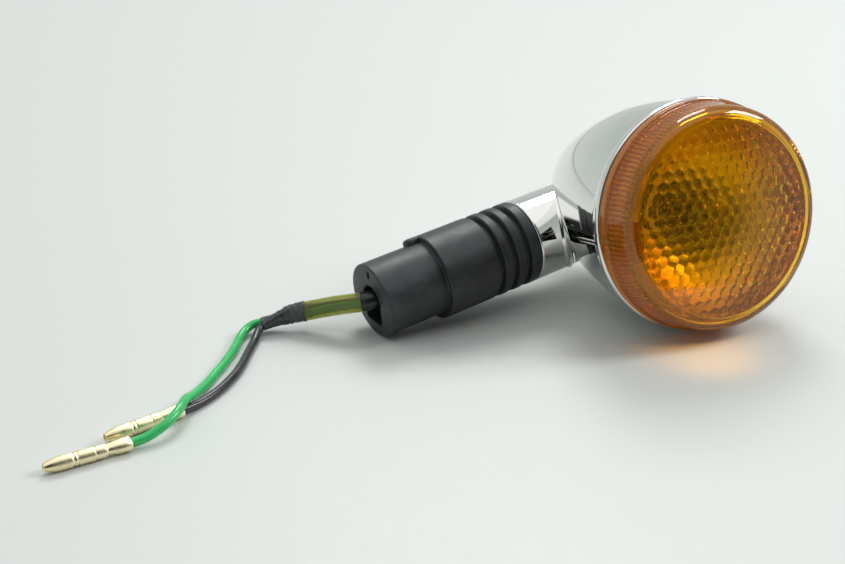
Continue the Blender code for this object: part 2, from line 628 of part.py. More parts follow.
BLACK_ROUTE = [
    (-0.0574, 0.0205, 0.0115), (-0.0607, 0.0211, 0.0109), (-0.0642, 0.0239, 0.0099),
    (-0.0682, 0.0276, 0.0086), (-0.0718, 0.0310, 0.0073), (-0.0754, 0.0341, 0.0066),
    (-0.0799, 0.0353, 0.0062), (-0.0843, 0.0355, 0.0047), (-0.0875, 0.0364, 0.0032),
    (-0.0892, 0.0357, 0.0025), (-0.0908, 0.0341, 0.0019), (-0.0925, 0.0320, 0.0014),
    (-0.0944, 0.0297, 0.0012),
    (-0.0970, 0.0265, 0.0012), (-0.0995, 0.0233, 0.0012), (-0.1022, 0.0200, 0.0012),
    (-0.1052, 0.0167, 0.0012), (-0.1084, 0.0138, 0.0012), (-0.1116, 0.0112, 0.0012),
    (-0.1149, 0.0089, 0.0012), (-0.1183, 0.0070, 0.0012), (-0.1216, 0.0055, 0.0013),
    (-0.1243, 0.0044, 0.0016), (-0.1266, 0.0035, 0.0019),
]
GREEN_TIP = Vector((-0.1664, -0.0051, 0.0020))   # where each terminal points
BLACK_TIP = Vector((-0.1502, 0.0004, 0.0020))


def make_terminal(name, route, tip, mats):
    """A bullet terminal: crimped barrel, neck, plug with a groove, rounded nose."""
    start = Vector(route[-1])
    ahead = (tip - start).normalized()
    local = Matrix.Translation(start + 0.0003 * ahead)
    local = local @ ahead.to_track_quat("Z", "Y").to_matrix().to_4x4()
    profile = [(0, 0), (0.00150, 0), (0.00165, 0.0006), (0.00165, 0.0056), (0.0013, 0.0068)]
    profile += [(0.0013, 0.0078), (0.00193, 0.0090), (0.00193, 0.0164), (0.00160, 0.0168)]
    profile += [(0.00160, 0.0176), (0.00195, 0.0180), (0.00195, 0.0192), (0.00170, 0.0208)]
    profile += [(0.00115, 0.0222), (0, 0.0222)]
    add(name, lathe(profile, 20), None, mats["brass"], local)


def make_leads(mats):
    add("cable_collar", pipe(COLLAR_ROUTE, lambda t: 0.0030, lambda t: SLEEVE_BORE_R, 0.002, 16),
        None, mats["rubber"])
    add("vinyl_sleeve", pipe(SLEEVE_ROUTE, lambda t: SLEEVE_R, lambda t: SLEEVE_BORE_R, 0.003, 16),
        None, mats["olive"])
    add("tape_wrap", pipe(TAPE_ROUTE, lambda t: 0.0031 - 0.0003 * t, lambda t: 0.00255, 0.003, 16),
        None, mats["tape"])
    cord("green_lead", GREEN_ROUTE, LEAD_R, mats["green"])
    cord("black_lead", BLACK_ROUTE, LEAD_R, mats["black"])
    make_terminal("green_terminal", GREEN_ROUTE, GREEN_TIP, mats)
    make_terminal("black_terminal", BLACK_ROUTE, BLACK_TIP, mats)


def make_inner_leads(frames, mats):
    """The same two leads inside the rubber, the stem and the housing, up to the socket."""
    stem, neck, head = (frames[name].matrix_basis for name in ("stem", "neck", "head"))
    ends = {
        "live_lead": (1, "green", [(-0.0060, -0.0086, -0.0376), (-0.0036, -0.0084, -0.0406),
                                   (-0.0012, -0.0056, -0.0430), (0, -0.0020, -0.0436),
                                   (0, 0, -0.0414), (0, 0, -0.0366)]),
        "earth_lead": (-1, "black", [(-0.0080, -0.0081, -0.0328), (-0.0073, -0.0074, -0.0302)]),
    }
    for name, (side, colour, tail) in ends.items():
        x = side * 0.00145
        route = [stem @ Vector((x, y, z)) for y, z in
                 ((0, 0.0045), (0, 0.012), (0, 0.025), (0, 0.040), (-0.0002, 0.050),
                  (-0.0030, 0.059))]
        route += [neck @ Vector((x, -WIRE_OFFSET, z)) for z in (-0.0065, 0.0, 0.0065, 0.0125)]
        route += [head @ Vector(point) for point in tail]
        cord(name, route, 0.0009, mats[colour], step=0.003)


def main():
    clear_scene()
    frames = make_frames()
    mats = make_materials()
    make_rubber(frames, mats)
    make_stem(frames, mats)
    make_housing(frames, mats)
    make_lens(frames, mats)
    make_reflector(frames, mats)
    make_socket(frames, mats)
    make_bulb(frames, mats)
    make_inner_leads(frames, mats)
    make_leads(mats)


main()
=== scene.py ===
"""Looks of the turn signal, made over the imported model. Metres, in the row frame."""
import math

import bpy
import bmesh
import numpy as np
from mathutils import Matrix, Vector, noise


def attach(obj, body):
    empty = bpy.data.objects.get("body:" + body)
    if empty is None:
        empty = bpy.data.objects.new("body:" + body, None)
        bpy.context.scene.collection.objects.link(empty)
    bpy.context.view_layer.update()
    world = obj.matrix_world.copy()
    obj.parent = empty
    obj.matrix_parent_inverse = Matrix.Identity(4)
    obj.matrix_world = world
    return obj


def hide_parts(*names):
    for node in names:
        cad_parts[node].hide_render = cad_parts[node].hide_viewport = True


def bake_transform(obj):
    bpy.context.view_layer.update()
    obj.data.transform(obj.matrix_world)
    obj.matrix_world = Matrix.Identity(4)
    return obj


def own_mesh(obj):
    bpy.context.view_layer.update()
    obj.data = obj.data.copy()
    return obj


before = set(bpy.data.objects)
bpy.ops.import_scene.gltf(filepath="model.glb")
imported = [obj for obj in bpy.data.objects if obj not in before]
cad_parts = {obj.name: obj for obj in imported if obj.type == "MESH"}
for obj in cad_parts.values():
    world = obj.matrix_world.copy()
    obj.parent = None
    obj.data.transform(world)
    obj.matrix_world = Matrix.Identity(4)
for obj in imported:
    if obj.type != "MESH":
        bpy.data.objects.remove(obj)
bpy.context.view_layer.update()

# ---- the frames of the design, as the model has them --------------------------------------
STEM_SLOPE = math.radians(7.94)


def direction(azimuth, lift):
    flat = math.cos(lift)
    return Vector((flat * math.cos(azimuth), flat * math.sin(azimuth), math.sin(lift)))


def placed(location, axis):
    return Matrix.Translation(location) @ axis.to_track_quat("Z", "Y").to_matrix().to_4x4()


ALONG = direction(0.0, STEM_SLOPE)
NORMAL = direction(math.radians(-34.4), math.radians(11.1))
LEAVING = 2 * NORMAL.dot(ALONG) * NORMAL - ALONG
STEM_AT = Vector((-0.060405, 0.0190, 0.011192))
MITRE_AT = Vector((0.0114, 0.0190, 0.021207))
HEAD_AT = Vector((0.02689, -0.02232, 0.033882))
STEM = placed(STEM_AT, ALONG)
BOSS = placed(MITRE_AT, LEAVING)
HEAD = placed(HEAD_AT, Vector((-0.129121, -0.96772, 0.21644)))

SPIGOT_R = 0.0113
SHOULDER_Z = 0.0199
BODY_R = 0.01306
RUBBER_LEN = 0.0527
GROOVES = (0.0385, 0.0434, 0.0483)    # their middles along the stem
GROOVE_DEPTH = 0.0019
GROOVE_TOP = 0.00105                  # half its width at the surface
GROOVE_BED = 0.00070                  # half its width at the bottom
MOUTH_R = 0.0046
MOUTH_DEPTH = 0.0040
BORE_R = 0.0072
PINCH_R = 0.0034                      # the bore between the sleeve and the stem
NUB_TURN = math.radians(-25)          # round the stem, from its +Y
STEM_R = 0.0131
BEAD_HEIGHT = 0.00050
NECK_END_R = 0.0082
NECK_SPREAD = 0.0048                  # the neck is this much wider at the joint
NECK_TAPER = 0.0085
RIM_R = 0.0345
HOUSING_R = 0.0334
HOUSING_LEN = 0.0655
HOUSING_WALL = 0.0017
TAIL_SKEW = (-0.0060, 0.0064)
LEDGE_Z = -0.0030
SCREW_R = 0.0302
SCREW_ANGLES = (math.radians(5.0), math.radians(185.0))
POST_R = 0.0050                       # wall left round each screw pocket
POCKET_R = 0.0036
HOLE_R = 0.0018
HEX = 0.0034                          # from cell to cell
PILLOW = 0.00055
RIBS = 144
RIB_DEPTH = 0.00032
FINE = 1152                           # points round the wall, eight to a rib
COARSE = FINE // 3                    # points round the face


# ---- meshes -------------------------------------------------------------------------------
def piece(name, verts, faces, place, mat, body, *nodes, sharp=38):
    """A closed mesh in the row frame that stands for the CAD nodes."""
    mesh = bpy.data.meshes.new(name)
    m = np.array(place)
    verts = np.asarray(verts, float) @ m[:3, :3].T + m[:3, 3]
    mesh.from_pydata(verts.tolist(), [], [list(f) for f in faces])
    bm = bmesh.new()
    bm.from_mesh(mesh)
    bmesh.ops.recalc_face_normals(bm, faces=bm.faces)
    bm.to_mesh(mesh)
    bm.free()
    mesh.shade_smooth()
    mesh.set_sharp_from_angle(angle=math.radians(sharp))
    obj = bpy.data.objects.new(name, mesh)
    bpy.context.scene.collection.objects.link(obj)
    if mat:
        mesh.materials.append(mat)
    if body:
        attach(obj, body)
    if nodes:
        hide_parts(*nodes)
    return obj


def loft(loops, ring=False, capped=False):
    """Skin between loops of equal length, or of 1 (a pole), or of a third as many points."""
    verts, starts = [], []
    for loop in loops:
        starts.append((len(verts), len(loop)))
        verts.extend(loop)
    faces = []
    pairs = list(zip(starts, starts[1:]))
    if ring:
        pairs.append((starts[-1], starts[0]))
    for (a, na), (b, nb) in pairs:
        n = max(na, nb)
        for k in range(n):
            j = (k + 1) % n
            low = [a + k * na // n, a + j * na // n if na > 1 else a]
            high = [b + j * nb // n if nb > 1 else b, b + k * nb // n]
            face = list(dict.fromkeys(low + high))
            if len(face) > 2:
                faces.append(face)
    if capped:
        for a, n in (starts[0], starts[-1]):
            if n > 1:
                faces.append([a + k for k in range(n)])
    return verts, faces


def turned(profile, segments=96, ring=False):
    """A profile of (radius, height) points turned about Z."""
    loops = []
    for r, z in profile:
        if r < 1e-7:
            loops.append([(0.0, 0.0, z)])
        else:
            t = np.arange(segments) * 2 * math.pi / segments
            loops.append(np.column_stack([r * np.cos(t), r * np.sin(t), np.full(segments, z)]).tolist())
    return loft(loops, ring)


def rounded(points, radius, steps=4, ring=False):
    """The corners of a profile eased by a radius, at most half of each side."""
    pts = [np.array(p, float) for p in points]
    out = []
    last = len(pts) - 1
    for i, p in enumerate(pts):
        if not ring and i in (0, last):
            out.append(tuple(p))
            continue
        a, b = pts[i - 1] - p, pts[(i + 1) % len(pts)] - p
        la, lb = np.linalg.norm(a), np.linalg.norm(b)
        d = min(radius, 0.45 * la, 0.45 * lb)
        turn = a @ b / (la * lb)
        if turn < -0.985:
            out.append(tuple(p))
            continue
        q0, q1 = p + a / la * d, p + b / lb * d
        for k in range(steps + 1):
            t = k / steps
            out.append(tuple((1 - t) ** 2 * q0 + 2 * t * (1 - t) * p + t * t * q1))
    return out


def arc(center_r, center_z, radius, start, end, steps):
    turns = [math.radians(start + (end - start) * i / steps) for i in range(steps + 1)]
    return [(center_r + radius * math.cos(t), center_z + radius * math.sin(t)) for t in turns]


def block(x0, x1, y0, y1, z0, z1):
    verts = [(x, y, z) for z in (z0, z1) for y in (y0, y1) for x in (x0, x1)]
    faces = [(0, 2, 3, 1), (4, 5, 7, 6), (0, 1, 5, 4), (2, 6, 7, 3), (0, 4, 6, 2), (1, 3, 7, 5)]
    return verts, faces


def combine(obj, tool, operation):
    """Applies a Boolean with another piece and removes that piece."""
    mod = obj.modifiers.new("cut", "BOOLEAN")
    mod.object = tool
    mod.operation = operation
    mod.solver = "MANIFOLD"
    made = bpy.data.meshes.new_from_object(obj.evaluated_get(bpy.context.evaluated_depsgraph_get()))
    obj.modifiers.clear()
    obj.data = made
    bpy.data.objects.remove(tool, do_unlink=True)


def cut(obj, shape, place, operation="DIFFERENCE"):
    """Combines obj with a shape given as (verts, faces)."""
    combine(obj, piece("cutter", *shape, place, None, None), operation)


SURFACE_GAP = 6e-5


def reshade(obj, surfaces, sharp=38):
    """Gives each corner that lies on a known smooth surface that surface's own normal."""
    mesh = obj.data
    mesh.shade_smooth()
    mesh.set_sharp_from_angle(angle=math.radians(sharp))
    count = len(mesh.loops)
    normals = np.empty(count * 3, np.float32)
    mesh.corner_normals.foreach_get("vector", normals)
    normals = normals.reshape(-1, 3).astype(float)
    where = np.empty(count, np.int32)
    mesh.loops.foreach_get("vertex_index", where)
    co = np.empty(len(mesh.vertices) * 3, np.float32)
    mesh.vertices.foreach_get("co", co)
    co = co.reshape(-1, 3).astype(float)
    flat = np.empty(len(mesh.polygons) * 3, np.float32)
    mesh.polygons.foreach_get("normal", flat)
    totals = np.empty(len(mesh.polygons), np.int32)
    mesh.polygons.foreach_get("loop_total", totals)
    flat = np.repeat(flat.reshape(-1, 3).astype(float), totals, axis=0)
    for place, off in surfaces:
        m = np.array(place.inverted())
        local = co @ m[:3, :3].T + m[:3, 3]
        value = off(local)
        step = SURFACE_GAP / 3
        grad = np.column_stack([(off(local + step * e) - off(local - step * e)) for e in np.eye(3)])
        grad /= np.maximum(np.linalg.norm(grad, axis=1), 1e-12)[:, None]
        grad = grad @ np.array(place)[:3, :3].T
        near = np.abs(value) < SURFACE_GAP
        agree = np.einsum("ij,ij->i", grad[where], flat) > 0.9
        use = near[where] & agree
        normals[use] = grad[where][use]
    mesh.normals_split_custom_set(normals.tolist())


def smooth_route(points, step):
    route = [Vector(p) for p in points]
    ends = [2 * route[0] - route[1]] + route + [2 * route[-1] - route[-2]]
    samples = []
    for a, b, c, d in zip(ends, ends[1:], ends[2:], ends[3:]):
        count = max(1, round((c - b).length / step))
        for i in range(count):
            t = i / count
            samples.append(0.5 * (2 * b + (c - a) * t + (2 * a - 5 * b + 4 * c - d) * t ** 2
                                  + (3 * b - a - 3 * c + d) * t ** 3))
    samples.append(route[-1])
    return samples


def along_route(points, step, segments, radius, bore):
    """A hollow round piece along a route; radius and bore take (share, point, way out)."""
    samples = smooth_route(points, step)
    skins = ([], [])
    for i, place in enumerate(samples):
        ahead = samples[min(i + 1, len(samples) - 1)] - samples[max(i - 1, 0)]
        ahead.normalize()
        across = ahead.cross(Vector((0, 0, 1))).normalized()
        up = across.cross(ahead)
        share = i / (len(samples) - 1)
        ways = [math.cos(t) * across + math.sin(t) * up
                for t in (2 * math.pi * k / segments for k in range(segments))]
        for skin, size in zip(skins, (radius, bore)):
            skin.append([tuple(place + size(share, place, way) * way) for way in ways])
    return loft(skins[0] + skins[1][::-1], ring=True)


# ---- materials ----------------------------------------------------------------------------
class Look:
    """A Principled material and short ways to add nodes to it."""

    def __init__(self, name, color, roughness, metallic=0.0, **sockets):
        self.mat = bpy.data.materials.new(name)
        self.mat.use_nodes = True
        self.tree = self.mat.node_tree
        self.shader = self.tree.nodes["Principled BSDF"]
        self.set(Base_Color=(*color, 1.0), Roughness=roughness, Metallic=metallic, **sockets)
        self.coord = self.tree.nodes.new("ShaderNodeTexCoord").outputs["Object"]

    def set(self, **sockets):
        for name, value in sockets.items():
            self.shader.inputs[name.replace("_", " ")].default_value = value

    def node(self, kind, inputs=(), **props):
        n = self.tree.nodes.new(kind)
        for key, value in props.items():
            setattr(n, key, value)
        for key, value in dict(inputs).items():
            if isinstance(value, bpy.types.NodeSocket):
                self.tree.links.new(value, n.inputs[key])
            else:
                n.inputs[key].default_value = value
        return n

    def noise(self, scale, detail=3.0, rough=0.5, vector=None):
        n = self.node("ShaderNodeTexNoise", {"Vector": vector or self.coord, "Scale": scale,
                                             "Detail": detail, "Roughness": rough})
        return n.outputs["Fac"]

    def spread(self, value, low, high, to_low, to_high):
        n = self.node("ShaderNodeMapRange", {"Value": value, "From Min": low, "From Max": high,
                                             "To Min": to_low, "To Max": to_high})
        return n.outputs["Result"]

    def tint(self, value, a, b):
        n = self.node("ShaderNodeMix", data_type="RGBA")
        self.tree.links.new(value, n.inputs["Factor"])
        n.inputs[6].default_value = (*a, 1.0)
        n.inputs[7].default_value = (*b, 1.0)
        return n.outputs[2]

    def math(self, operation, a, b=0.0):
        return self.node("ShaderNodeMath", {0: a, 1: b}, operation=operation).outputs[0]

    def link(self, value, socket):
        self.tree.links.new(value, self.shader.inputs[socket])

    def bump(self, height, distance, strength=1.0):
        n = self.node("ShaderNodeBump", {"Height": height, "Distance": distance,
                                         "Strength": strength})
        self.link(n.outputs["Normal"], "Normal")


def chrome_look():
    look = Look("chrome", (0.80, 0.80, 0.78), 0.06, 1.0)
    smudge = look.noise(42.0, 4.0, 0.6)
    fine = look.noise(900.0, 2.0)
    rough = look.math("ADD", look.spread(smudge, 0.42, 0.68, 0.035, 0.11),
                      look.spread(fine, 0.3, 0.7, 0.0, 0.02))
    look.link(rough, "Roughness")
    look.link(look.tint(look.spread(smudge, 0.4, 0.7, 0.0, 1.0), (0.84, 0.84, 0.82),
                        (0.76, 0.77, 0.74)), "Base Color")
    look.bump(look.noise(260.0, 2.0), 0.00001, 0.35)
    return look.mat


def amber_look():
    """Clear at the face and hazier down the wall, where more light scatters in the plastic."""
    look = Look("amber_lens", (1.0, 0.55, 0.01), 0.03, IOR=1.49)
    axis = HEAD.to_3x3() @ Vector((0, 0, 1))
    rise = look.node("ShaderNodeVectorMath", {0: look.coord, 1: axis}, operation="DOT_PRODUCT")
    rise = look.math("SUBTRACT", rise.outputs["Value"], axis.dot(HEAD_AT))
    haze = look.noise(70.0, 4.0, 0.6)
    clear = look.spread(rise, 0.0100, 0.0130, 0.80, 0.97)
    look.link(look.math("ADD", clear, look.spread(haze, 0.3, 0.7, -0.03, 0.01)),
              "Transmission Weight")
    look.link(look.spread(haze, 0.45, 0.75, 0.012, 0.07), "Roughness")
    sides = [HEAD.to_3x3() @ Vector(v) for v in ((1, 0, 0), (0, 1, 0))]
    x, y = (look.math("SUBTRACT", look.node("ShaderNodeVectorMath", {0: look.coord, 1: side},
                                            operation="DOT_PRODUCT").outputs["Value"],
                      side.dot(HEAD_AT)) for side in sides)
    # Painted shade: the wall colour darkens to a deep red along each rib in the rib band, standing in for
    # the shade that the flutes throw by refraction.
    rib = look.math("SINE", look.math("MULTIPLY", look.math("ARCTAN2", y, x), float(RIBS)))
    band = look.math("MULTIPLY", look.spread(rise, 0.0026, 0.0032, 0.0, 1.0),
                     look.spread(rise, 0.0100, 0.0118, 1.0, 0.0))
    painted_rib_shade = look.math("MULTIPLY", look.spread(rib, -0.2, 0.9, 0.0, 0.85), band)
    wall = look.node("ShaderNodeMix", data_type="RGBA")
    look.tree.links.new(painted_rib_shade, wall.inputs["Factor"])
    # The first colour is the plain wall; the second is the painted rib shade.
    wall.inputs[6].default_value = (1.0, 0.40, 0.035, 1.0)
    wall.inputs[7].default_value = (0.66, 0.13, 0.006, 1.0)
    face = look.tint(look.spread(look.noise(35.0), 0.3, 0.7, 0.0, 1.0), (1.0, 0.62, 0.008),
                     (1.0, 0.66, 0.012))
    blend = look.node("ShaderNodeMix", data_type="RGBA")
    look.tree.links.new(look.spread(rise, 0.0098, 0.0128, 0.0, 1.0), blend.inputs["Factor"])
    look.tree.links.new(wall.outputs[2], blend.inputs[6])
    look.tree.links.new(face, blend.inputs[7])
    look.link(blend.outputs[2], "Base Color")
    return look.mat


def rubber_look():
    look = Look("rubber", (0.030, 0.033, 0.036), 0.5, Specular_IOR_Level=0.5)
    worn = look.noise(160.0, 6.0, 0.65)
    grain = look.noise(2600.0, 3.0, 0.6)
    look.link(look.tint(look.spread(worn, 0.45, 0.78, 0.0, 1.0), (0.022, 0.025, 0.028),
                        (0.048, 0.054, 0.060)), "Base Color")
    look.link(look.spread(worn, 0.3, 0.75, 0.36, 0.56), "Roughness")
    look.bump(look.math("ADD", grain, look.math("MULTIPLY", worn, 0.6)), 0.00006, 0.6)
    return look.mat


def metal_look(name, color, other, roughness, scale=500.0, bump=0.00002):
    look = Look(name, color, roughness, 1.0)
    spots = look.noise(scale, 5.0, 0.65)
    look.link(look.tint(look.spread(spots, 0.35, 0.7, 0.0, 1.0), color, other), "Base Color")
    look.link(look.spread(spots, 0.3, 0.75, roughness * 0.7, roughness * 1.5), "Roughness")
    look.bump(look.noise(scale * 2.4, 3.0), bump, 0.5)
    return look.mat


def soft_look(name, color, other, roughness, scale=300.0, bump=0.00003, **sockets):
    look = Look(name, color, roughness, **sockets)
    patches = look.noise(scale, 4.0, 0.6)
    look.link(look.tint(look.spread(patches, 0.35, 0.7, 0.0, 1.0), color, other), "Base Color")
    look.link(look.spread(patches, 0.3, 0.75, roughness * 0.75, roughness * 1.3), "Roughness")
    look.bump(look.noise(scale * 3.0, 3.0), bump, 0.5)
    return look.mat


CHROME = chrome_look()
AMBER = amber_look()
RUBBER = rubber_look()
STEEL = metal_look("steel", (0.56, 0.56, 0.54), (0.42, 0.42, 0.40), 0.30)
BRASS = metal_look("brass", (0.99, 0.90, 0.60), (0.95, 0.82, 0.50), 0.34)
BRIGHT = metal_look("bright_reflector", (0.93, 0.92, 0.90), (0.87, 0.86, 0.84), 0.30, 120.0)
GLASS = soft_look("bulb_glass", (0.97, 0.98, 0.98), (0.93, 0.94, 0.94), 0.02, 200.0, 0.000004,
                  Transmission_Weight=1.0, IOR=1.46)
PHENOLIC = soft_look("phenolic", (0.10, 0.05, 0.03), (0.06, 0.03, 0.02), 0.5)
TUNGSTEN = metal_look("tungsten", (0.32, 0.32, 0.33), (0.22, 0.22, 0.23), 0.4)
COLLAR = soft_look("collar_rubber", (0.012, 0.012, 0.014), (0.022, 0.022, 0.024), 0.22)
OLIVE = soft_look("olive_vinyl", (0.62, 0.64, 0.20), (0.55, 0.56, 0.15), 0.06, 260.0, 0.00002,
                  Transmission_Weight=0.9, IOR=1.47)
TAPE = soft_look("black_tape", (0.040, 0.042, 0.042), (0.085, 0.088, 0.088), 0.30, 420.0, 0.00005)
GREEN = soft_look("green_insulation", (0.030, 0.46, 0.115), (0.040, 0.54, 0.150), 0.24)
BLACK = soft_look("black_insulation", (0.016, 0.015, 0.018), (0.034, 0.031, 0.038), 0.26)


# ---- stem and rubber ----------------------------------------------------------------------
def make_rubber():
    """The rubber with its grooves, then the nub at its shoulder, its mouth and a slit beside it."""
    pinch_start, pinch_end = 0.0352, 0.0448
    points = [(MOUTH_R, 0.0), (SPIGOT_R, 0.0), (SPIGOT_R, SHOULDER_Z), (BODY_R, SHOULDER_Z)]
    for middle in GROOVES:
        points += [(BODY_R, middle - GROOVE_TOP), (BODY_R - GROOVE_DEPTH, middle - GROOVE_BED)]
        points += [(BODY_R - GROOVE_DEPTH, middle + GROOVE_BED), (BODY_R, middle + GROOVE_TOP)]
    points += [(BODY_R, RUBBER_LEN), (BORE_R, RUBBER_LEN), (BORE_R, pinch_end), (PINCH_R, pinch_end)]
    points += [(PINCH_R, pinch_start), (BORE_R, pinch_start), (BORE_R, MOUTH_DEPTH),
               (MOUTH_R, MOUTH_DEPTH)]
    rubber = piece("rubber_skin", *turned(rounded(points, 0.0006, 4, ring=True), 144, ring=True),
                   STEM, RUBBER, None)
    plan = rounded([(-0.0021, 0.0158), (0.0021, 0.0158), (0.0021, 0.0215), (-0.0021, 0.0215)],
                   0.0018, 6, ring=True)
    nub_z = 0.0187
    layers = ((1, 0.0095), (1, 0.0119), (0.94, 0.0125), (0.80, 0.0129), (0.5, 0.0131))
    nub = loft([[(x * size, y, nub_z + (z - nub_z) * size) for x, z in plan] for size, y in layers],
               capped=True)
    cut(rubber, nub, STEM @ Matrix.Rotation(NUB_TURN, 4, "Z"), "UNION")
    mouth = rounded([(-MOUTH_R, -0.0072), (MOUTH_R, -0.0072), (MOUTH_R, 0.0012), (-MOUTH_R, 0.0012)],
                    0.0020, 5, ring=True)
    cut(rubber, loft([[(x, y, z) for x, y in mouth] for z in (-0.001, 0.0043)], capped=True), STEM)
    cut(rubber, block(-0.0007, 0.0007, 0.0072, 0.0096, -0.001, 0.0030), STEM)
    reshade(rubber, [(STEM, lambda p: np.hypot(p[:, 0], p[:, 1]) - BODY_R),
                     (STEM, lambda p: np.hypot(p[:, 0], p[:, 1]) - SPIGOT_R)])
    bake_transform(rubber)
    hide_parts("rubber_mount")


def make_stem():
    """The mitred tube, its rings taken straight from the plane of the joint."""
    slope = NORMAL.dot(ALONG)
    x_axis, y_axis = (STEM.to_3x3() @ Vector(v) for v in ((1, 0, 0), (0, 1, 0)))
    base = NORMAL.dot(MITRE_AT - STEM_AT)
    turns = [2 * math.pi * (k + 0.5) / 160 for k in range(160)]
    face = RUBBER_LEN + 0.0002

    def ring(radius, z=None, beyond=None):
        loop = []
        for t in turns:
            x, y = radius * math.cos(t), radius * math.sin(t)
            height = z
            if beyond is not None:
                height = (beyond + base - x * NORMAL.dot(x_axis) - y * NORMAL.dot(y_axis)) / slope
            loop.append((x, y, height))
        return loop

    spigot_r = 0.0068
    loops = [ring(spigot_r, face + 0.0006), ring(spigot_r, face), ring(STEM_R - 0.0005, face)]
    loops += [ring(STEM_R - 0.0015 * (1 - math.sin(a)) / 3, face + 0.0005 * (1 - math.cos(a)))
              for a in (0.5, 1.0, 1.57)]
    loops += [ring(STEM_R, face + 0.0008), ring(STEM_R, face + 0.0012)]
    loops += [ring(STEM_R, beyond=b) for b in (-0.0042, -0.0035, -0.0031)]
    steps = 16
    for k in range(steps + 1):
        share = k / steps
        swell = BEAD_HEIGHT * math.sin(math.pi * share) ** 2
        loops.append(ring(STEM_R + swell - 0.0002 * share ** 6, beyond=-0.0028 + 0.0026 * share))
    loops += [ring(STEM_R - 0.0015, beyond=-0.0002)]
    loops.append([tuple(STEM.inverted() @ (MITRE_AT - NORMAL * 0.0002))])
    hub = [tuple(STEM.inverted() @ STEM_AT + Vector((0, 0, face + 0.0006)))]
    piece("stem_tube", *loft([hub] + loops), STEM, CHROME, "head", "stem")


# ---- housing ------------------------------------------------------------------------------
def bullet_radius(depth, length, radius):
    share = np.clip(np.asarray(depth, float) / length, 0.0, 1.0)
    return radius * (1 - share ** 1.85) ** 0.76


def lean(verts):
    verts = np.array(verts, float)
    share = np.maximum(0.0, LEDGE_Z - verts[:, 2]) / (HOUSING_LEN + LEDGE_Z)
    verts[:, 0] += TAIL_SKEW[0] * share
    verts[:, 1] += TAIL_SKEW[1] * share
    return verts


def bullet(radius, length, start, count=64):
    depths = length * np.sin(math.pi / 2 * np.arange(count + 1) / count)
    points = [(float(bullet_radius(d, length, radius)), -d) for d in depths]
    return [(r, z) for r, z in points if z < start]


def neck_radius(far):
    """Radius of the neck at a distance from the plane of the joint."""
    return NECK_END_R + NECK_SPREAD * np.exp(-np.maximum(far, 0.0) / NECK_TAPER)


def mitre_ring(radius, far, count=192):
    """A loop round the neck's own axis, all of it at one distance from the joint's plane."""
    x_axis, y_axis, z_axis = (BOSS.to_3x3() @ Vector(v) for v in ((1, 0, 0), (0, 1, 0), (0, 0, 1)))
    loop = []
    for k in range(count):
        t = 2 * math.pi * k / count
        x, y = radius * math.cos(t), radius * math.sin(t)
        loop.append((x, y, (far - x * NORMAL.dot(x_axis) - y * NORMAL.dot(y_axis)) / NORMAL.dot(z_axis)))
    return loop


def make_housing():
    """The bullet with its neck, hollowed out, with a pocket for each screw."""
    skin = bullet(HOUSING_R, HOUSING_LEN, -0.0034)[::-1]
    rim = arc(RIM_R - 0.0008, -0.0008, 0.0008, -48, 90, 12) + [(0.0, 0.0)]
    verts, faces = turned(skin + rim, 256)
    housing = piece("housing_shell", lean(verts), faces, HEAD, CHROME, None)
    loops = [mitre_ring(neck_radius(far), far) for far in np.linspace(0.00025, 0.0150, 40)]
    cut(housing, loft(loops, capped=True), BOSS, "UNION")
    mouth = [(0.0, 0.0050), (0.0318, 0.0050), (0.0318, LEDGE_Z), (0.0303, LEDGE_Z)]
    verts, faces = turned(mouth + bullet(HOUSING_R - HOUSING_WALL, HOUSING_LEN - HOUSING_WALL,
                                         LEDGE_Z - 0.0005, 40), 128)
    room = piece("room", lean(verts), faces, HEAD, None, None)
    for angle in SCREW_ANGLES:
        at = HEAD @ Matrix.Rotation(angle, 4, "Z") @ Matrix.Translation((SCREW_R, 0, 0))
        post = [(0, -0.0245), (POST_R, -0.0245), (POST_R, -0.0012), (0, -0.0012)]
        cut(room, turned(post, 48), at)
    combine(housing, room, "DIFFERENCE")
    for angle in SCREW_ANGLES:
        at = HEAD @ Matrix.Rotation(angle, 4, "Z") @ Matrix.Translation((SCREW_R, 0, 0))
        hole = [(0, -0.0230), (POCKET_R, -0.0230), (POCKET_R, -0.0031), (HOLE_R, -0.0031),
                (HOLE_R, 0.0100), (0, 0.0100)]
        cut(housing, turned(hole, 48), at)
    bm = bmesh.new()
    bm.from_mesh(housing.data)
    bmesh.ops.remove_doubles(bm, verts=bm.verts, dist=2e-6)
    bm.to_mesh(housing.data)
    bm.free()

    def bullet_off(p):
        share = np.maximum(0.0, LEDGE_Z - p[:, 2]) / (HOUSING_LEN + LEDGE_Z)
        r = np.hypot(p[:, 0] - TAIL_SKEW[0] * share, p[:, 1] - TAIL_SKEW[1] * share)
        return np.where(p[:, 2] < -0.0033, r - bullet_radius(-p[:, 2], HOUSING_LEN, HOUSING_R), 1.0)

    across = np.array(BOSS.to_3x3().inverted() @ NORMAL)

    def boss_off(p):
        return np.hypot(p[:, 0], p[:, 1]) - neck_radius(p @ across)

    reshade(housing, [(HEAD, bullet_off), (BOSS, boss_off)])
    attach(housing, "head")
    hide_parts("housing")


# ---- lens ---------------------------------------------------------------------------------
def pillow(x, y):
    """Height of the face's pillows, 1 in the middle of a cell and about 0 on its edges."""
    best = np.full(x.shape, 1e9)
    row = HEX * math.sqrt(3) / 2
    j0 = np.round(y / row)
    for dj in (-1, 0, 1):
        j = j0 + dj
        shift = np.where(j % 2 == 0, 0.0, HEX / 2)
        i = np.round((x - shift) / HEX)
        best = np.minimum(best, (x - i * HEX - shift) ** 2 + (y - j * row) ** 2)
    return 1 - best / (HEX / math.sqrt(3)) ** 2


